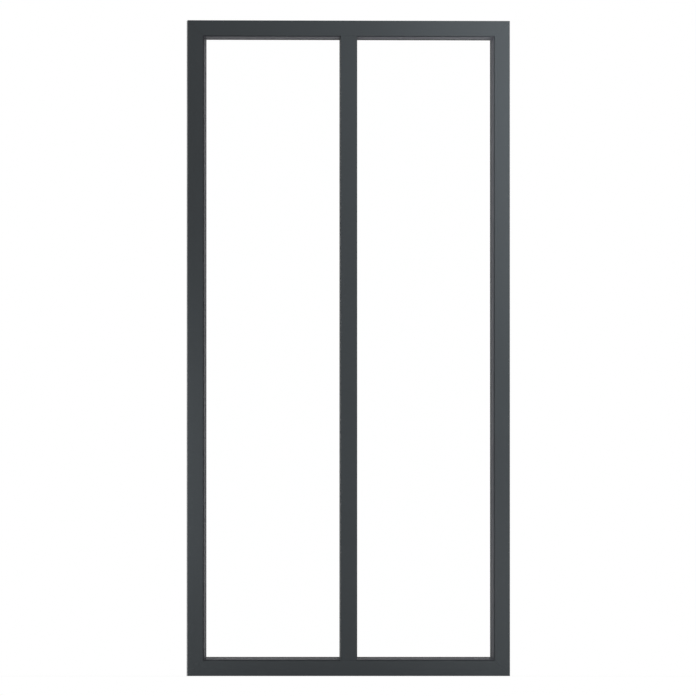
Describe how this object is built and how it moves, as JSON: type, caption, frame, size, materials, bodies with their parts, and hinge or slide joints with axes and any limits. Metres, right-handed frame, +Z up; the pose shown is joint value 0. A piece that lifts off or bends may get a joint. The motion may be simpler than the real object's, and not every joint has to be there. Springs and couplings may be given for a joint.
{
  "type": "interior glass partition",
  "caption": "Slim dark aluminium partition frame with a central mullion and clear full-height panes, dry glazed with snap-in beads and rubber gaskets.",
  "frame": {"origin": "middle of the flat underside of the sill, halfway between the front and rear faces", "axes": "+Z up, +X to the right seen from the front, the front faces -Y"},
  "size_m": [0.64, 0.04, 1.3],
  "materials": {
    "coated_frame": "satin anthracite powder coat",
    "coated_bead": "satin anthracite powder coat",
    "mill_aluminium": "plain extruded metal",
    "clear_glass": "clear polished float glass",
    "black_rubber": "matt, nearly black",
    "block_plastic": "matt grey"
  },
  "bodies": {
    "root": {"frame_sill": "coated_frame", "frame_head": "coated_frame", "frame_left_jamb": "coated_frame", "frame_right_jamb": "coated_frame", "mullion": "coated_frame", "cleat_lower_left": "mill_aluminium", "cleat_lower_right": "mill_aluminium", "cleat_upper_left": "mill_aluminium", "cleat_upper_right": "mill_aluminium", "pane_left": "clear_glass", "pane_right": "clear_glass", "bead_front_left_sill": "coated_bead", "bead_front_left_head": "coated_bead", "bead_front_left_jamb": "coated_bead", "bead_front_right_sill": "coated_bead", "bead_front_right_head": "coated_bead", "bead_front_right_jamb": "coated_bead", "bead_rear_left_sill": "coated_bead", "bead_rear_left_head": "coated_bead", "bead_rear_left_jamb": "coated_bead", "bead_rear_right_sill": "coated_bead", "bead_rear_right_head": "coated_bead", "bead_rear_right_jamb": "coated_bead", "gasket_front_left": "black_rubber", "gasket_front_right": "black_rubber", "gasket_rear_left": "black_rubber", "gasket_rear_right": "black_rubber", "setting_blocks_left": "block_plastic", "setting_blocks_right": "block_plastic", "location_blocks_left": "block_plastic", "location_blocks_right": "block_plastic"}
  },
  "joints": []
}
